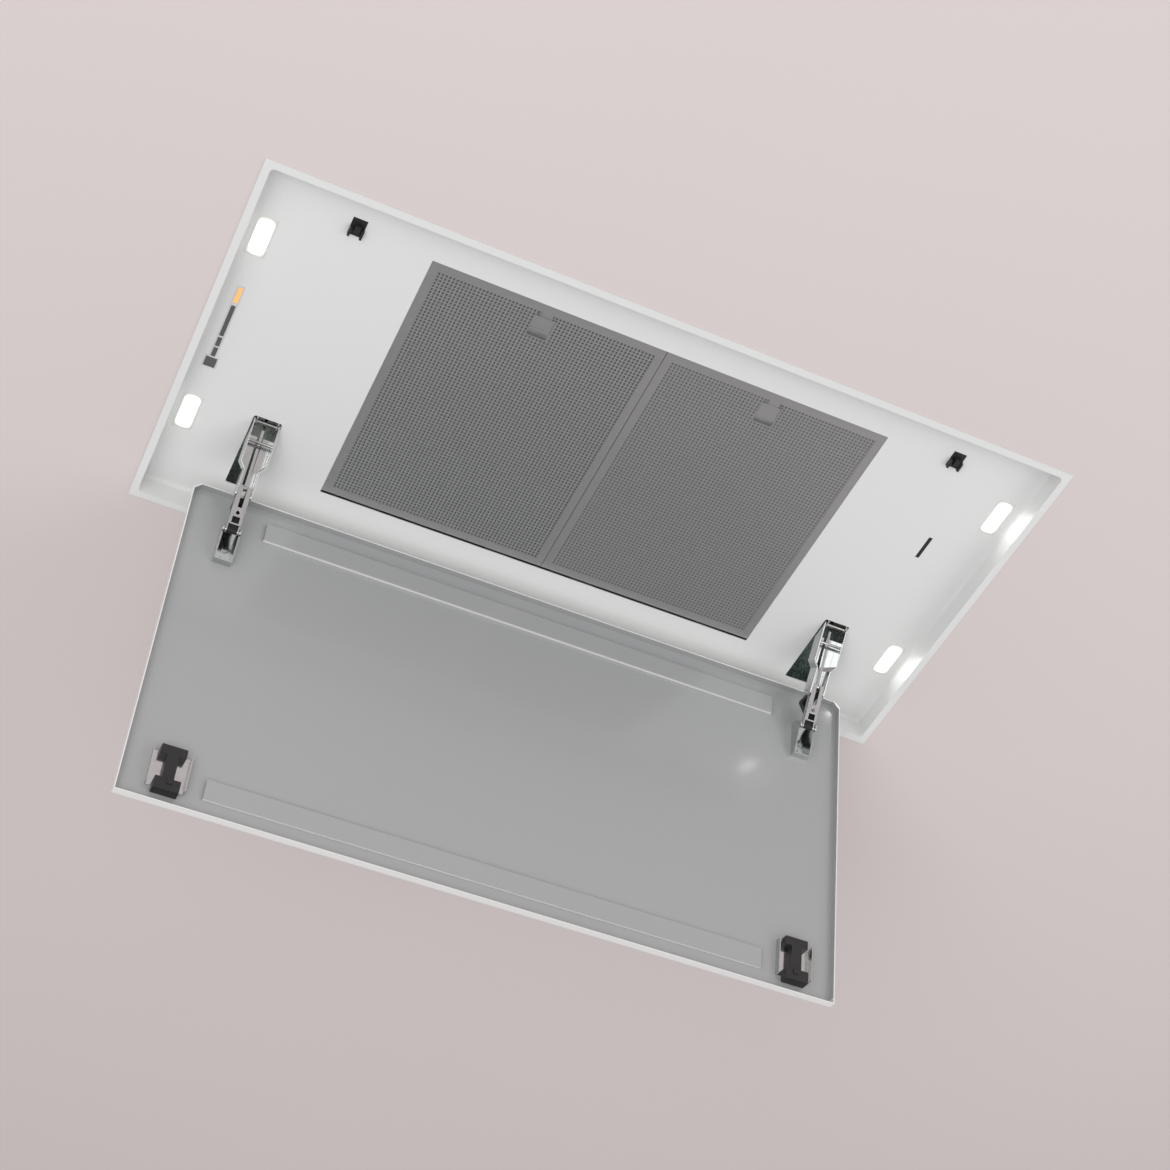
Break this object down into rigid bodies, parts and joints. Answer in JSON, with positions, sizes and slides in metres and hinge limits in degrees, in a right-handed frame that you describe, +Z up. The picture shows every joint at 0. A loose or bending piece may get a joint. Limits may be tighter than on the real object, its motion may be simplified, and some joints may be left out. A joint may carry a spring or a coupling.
{
  "type": "ceiling range hood",
  "caption": "Flush ceiling range hood whose hinged front panel hangs open below a white tray with grease filters, lamps, control strip, blower and duct collar.",
  "frame": {"origin": "centre of the rim's lower face, in the middle of the ceiling opening", "axes": "+X along the hood's length to the right as seen from the room with the hinges at the bottom, +Y towards the hinge side, +Z up into the ceiling"},
  "size_m": [0.9, 0.485, 0.7303],
  "materials": {
    "white_paint": "satin white powder coat",
    "panel_paint": "gloss grey-white enamel",
    "galvanised": "galvanised sheet",
    "zinc": "zinc-plated",
    "nickel": "nickel-plated steel",
    "dark_steel": "black phosphated steel",
    "aluminium": "satin aluminium",
    "mesh": "expanded aluminium mesh",
    "lamp": "frosted",
    "black_plastic": "matte black",
    "grey_plastic": "satin light grey",
    "dark_window": "smoked gloss",
    "amber": "lit amber",
    "impeller_steel": "coated steel"
  },
  "bodies": {
    "housing": {"tray": "white_paint", "casing": "galvanised", "casing_nuts": "zinc", "plenum_walls": "galvanised", "duct_collar": "galvanised", "flap_axle": "zinc", "blower_scroll": "galvanised", "motor_mount": "galvanised", "blower_motor": "dark_steel", "junction_box": "galvanised", "cable_gland": "black_plastic", "hanger_left": "galvanised", "hanger_right": "galvanised", "lamp_lens_left": "lamp", "lamp_lens_right": "lamp", "lamp_housing_left": "aluminium", "lamp_housing_right": "aluminium", "control_bezel": "grey_plastic", "indicator_lens": "amber", "control_window": "dark_window", "control_board": "black_plastic", "sensor_window": "black_plastic", "hinge_trough_left": "nickel", "hinge_trough_right": "nickel", "carrier_left": "nickel", "carrier_right": "nickel", "carrier_pins": "nickel", "catch_receiver_left": "black_plastic", "catch_receiver_right": "black_plastic"},
    "hinge_arms": {"hinge_arm_left": "nickel", "hinge_arm_right": "nickel", "arm_pins": "nickel"},
    "hinge_links": {"hinge_link_left": "nickel", "hinge_link_right": "nickel", "goosenecks": "dark_steel", "link_pins": "nickel"},
    "front_panel": {"panel": "panel_paint", "panel_stiffeners": "panel_paint", "hinge_cup_left": "nickel", "hinge_cup_right": "nickel", "cup_pins": "nickel", "keeper_left": "black_plastic", "keeper_right": "black_plastic", "keeper_plates": "nickel"},
    "control_rods": {"control_rods": "nickel"},
    "flap_front": {"flap_front": "aluminium"},
    "flap_rear": {"flap_rear": "aluminium"},
    "impeller": {"impeller": "impeller_steel", "motor_shaft": "zinc"},
    "filter_left": {"filter_frame_left": "aluminium", "filter_mesh_left": "mesh"},
    "filter_right": {"filter_frame_right": "aluminium", "filter_mesh_right": "mesh"},
    "filter_latch_left": {"filter_latch_left": "aluminium"},
    "filter_latch_right": {"filter_latch_right": "aluminium"},
    "catch_plunger_left": {"catch_plunger_left": "black_plastic"},
    "catch_plunger_right": {"catch_plunger_right": "black_plastic"},
    "light_key": {"light_key": "dark_window"},
    "fan_key": {"fan_key": "dark_window"},
    "main_key": {"main_key": "dark_window"}
  },
  "joints": [
    {"name": "panel_fold", "type": "hinge", "parent": "housing", "child": "hinge_arms", "pos_m": [0, 0.096, 0.03], "axis": [1, 0, 0], "range_deg": [0, 51.32]},
    {"name": "link_fold", "type": "hinge", "parent": "hinge_arms", "child": "hinge_links", "pos_m": [0, 0.15, -0.02801], "axis": [-1, 0, 0], "range_deg": [0, 165.06]},
    {"name": "panel_tilt", "type": "hinge", "parent": "hinge_links", "child": "front_panel", "pos_m": [0, 0.17477, -0.05974], "axis": [1, 0, 0], "range_deg": [0, 11.74]},
    {"name": "rod_swing", "type": "hinge", "parent": "hinge_links", "child": "control_rods", "pos_m": [0, 0.14569, -0.02249], "axis": [1, 0, 0], "range_deg": [0, 159.26]},
    {"name": "flap_front_swing", "type": "hinge", "parent": "housing", "child": "flap_front", "pos_m": [0, 0, 0.32], "axis": [-1, 0, 0], "range_deg": [0, 75]},
    {"name": "flap_rear_swing", "type": "hinge", "parent": "housing", "child": "flap_rear", "pos_m": [0, 0, 0.32], "axis": [1, 0, 0], "range_deg": [0, 75]},
    {"name": "impeller_spin", "type": "hinge", "parent": "housing", "child": "impeller", "pos_m": [0, -0.078, 0.155], "axis": [1, 0, 0], "continuous": true},
    {"name": "filter_left_drop", "type": "hinge", "parent": "housing", "child": "filter_left", "pos_m": [-0.13, 0.1564, 0.0295], "axis": [-1, 0, 0], "range_deg": [-60, 0]},
    {"name": "filter_right_drop", "type": "hinge", "parent": "housing", "child": "filter_right", "pos_m": [0.13, 0.1564, 0.0295], "axis": [-1, 0, 0], "range_deg": [-60, 0]},
    {"name": "filter_latch_left_slide", "type": "slide", "parent": "filter_left", "child": "filter_latch_left", "axis": [0, 1, 0], "range_m": [0, 0.006], "stiffness_N_per_m": 200},
    {"name": "filter_latch_right_slide", "type": "slide", "parent": "filter_right", "child": "filter_latch_right", "axis": [0, 1, 0], "range_m": [0, 0.006], "stiffness_N_per_m": 200},
    {"name": "catch_plunger_left_press", "type": "slide", "parent": "housing", "child": "catch_plunger_left", "axis": [0, 0, 1], "range_m": [0, 0.003], "stiffness_N_per_m": 300},
    {"name": "catch_plunger_right_press", "type": "slide", "parent": "housing", "child": "catch_plunger_right", "axis": [0, 0, 1], "range_m": [0, 0.003], "stiffness_N_per_m": 300},
    {"name": "light_key_press", "type": "slide", "parent": "housing", "child": "light_key", "axis": [0, 0, 1], "range_m": [0, 0.001], "stiffness_N_per_m": 200},
    {"name": "fan_key_press", "type": "slide", "parent": "housing", "child": "fan_key", "axis": [0, 0, 1], "range_m": [0, 0.001], "stiffness_N_per_m": 200},
    {"name": "main_key_press", "type": "slide", "parent": "housing", "child": "main_key", "axis": [0, 0, 1], "range_m": [0, 0.001], "stiffness_N_per_m": 200}
  ],
  "couplings": [
    {"joint": "panel_fold", "follows": "link_fold", "ratio": 0.31092},
    {"joint": "panel_tilt", "follows": "link_fold", "ratio": 0.071126},
    {"joint": "rod_swing", "follows": "link_fold", "ratio": 0.96486}
  ]
}
